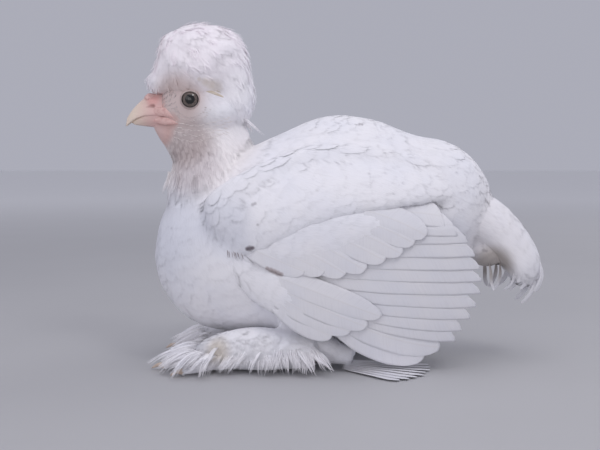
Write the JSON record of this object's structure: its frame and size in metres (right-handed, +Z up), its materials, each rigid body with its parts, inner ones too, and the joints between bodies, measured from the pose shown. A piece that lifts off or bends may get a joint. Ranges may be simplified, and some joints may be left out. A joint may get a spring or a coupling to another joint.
{
  "type": "sultan chicken",
  "caption": "Life-size still model of a young white crested chicken, crouching, with drooping wings and tail and feathered feet.",
  "frame": {"origin": "on the floor under the middle of the bird's bounding box", "axes": "-X is the way the bird faces, -Y is its left side, +Z is up"},
  "size_m": [0.2609, 0.1228, 0.2075],
  "materials": {
    "white_feather": "matte white feathers",
    "bill_horn": "satin pinkish horn",
    "pink_skin": "matte pink skin",
    "eye": "wet gloss, dark brown",
    "claw_horn": "satin pale horn"
  },
  "bodies": {
    "root": {"bill_lower": "bill_horn", "bill_upper": "bill_horn", "claw_left_1": "claw_horn", "claw_left_2": "claw_horn", "claw_left_3": "claw_horn", "claw_left_4": "claw_horn", "claw_left_5": "claw_horn", "claw_right_1": "claw_horn", "claw_right_2": "claw_horn", "claw_right_3": "claw_horn", "claw_right_4": "claw_horn", "claw_right_5": "claw_horn", "comb": "pink_skin", "crest": "white_feather", "eye_left": "eye", "eye_right": "eye", "foot_left": "white_feather", "foot_right": "white_feather", "head": "white_feather", "neck": "white_feather", "shank_left": "white_feather", "shank_right": "white_feather", "tail": "white_feather", "thigh_left": "white_feather", "thigh_right": "white_feather", "torso": "white_feather", "wing_left": "white_feather", "wing_right": "white_feather"}
  },
  "joints": []
}
